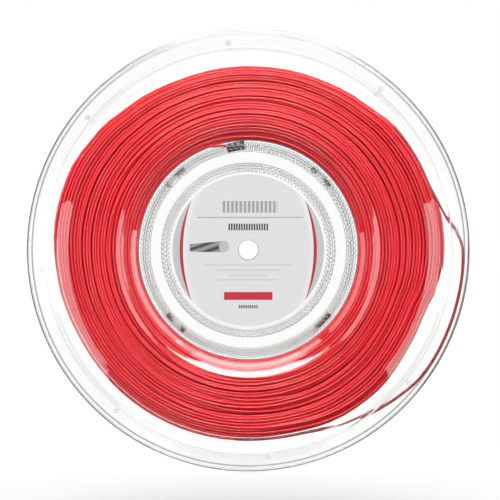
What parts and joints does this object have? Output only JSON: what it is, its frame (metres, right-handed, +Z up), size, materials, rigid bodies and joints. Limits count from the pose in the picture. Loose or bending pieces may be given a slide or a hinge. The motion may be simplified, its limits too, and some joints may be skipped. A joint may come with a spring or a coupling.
{
  "type": "string reel",
  "caption": "Clear plastic reel with dished hub and stepped flanges, wound with red racket string; a clear strip round the outside holds the turns in.",
  "frame": {"origin": "middle of the spindle bore, halfway between the two flanges", "axes": "the spindle axis is Y; the front label faces -Y, +Z is up, and +X is to the right as seen from the front"},
  "size_m": [0.2, 0.0322, 0.2],
  "materials": {
    "clear_front": "clear moulded polystyrene, polished",
    "clear_rear": "clear moulded polystyrene, polished",
    "string": "extruded co-polyester string, glossy",
    "tape": "black vinyl tape",
    "film": "clear polyester film",
    "label_paper": "printed coated paper"
  },
  "bodies": {
    "reel": {"front_flange": "clear_front", "rear_flange": "clear_rear", "string_pack": "string", "free_turn": "string", "string_tail": "string", "start_tape": "tape", "front_label": "label_paper", "rear_label": "label_paper"},
    "strip": {"retaining_strip": "film"}
  },
  "joints": [
    {"name": "strip_turn", "type": "hinge", "parent": "reel", "child": "strip", "pos_m": [0, 0, 0], "axis": [0, 1, 0], "continuous": true}
  ]
}
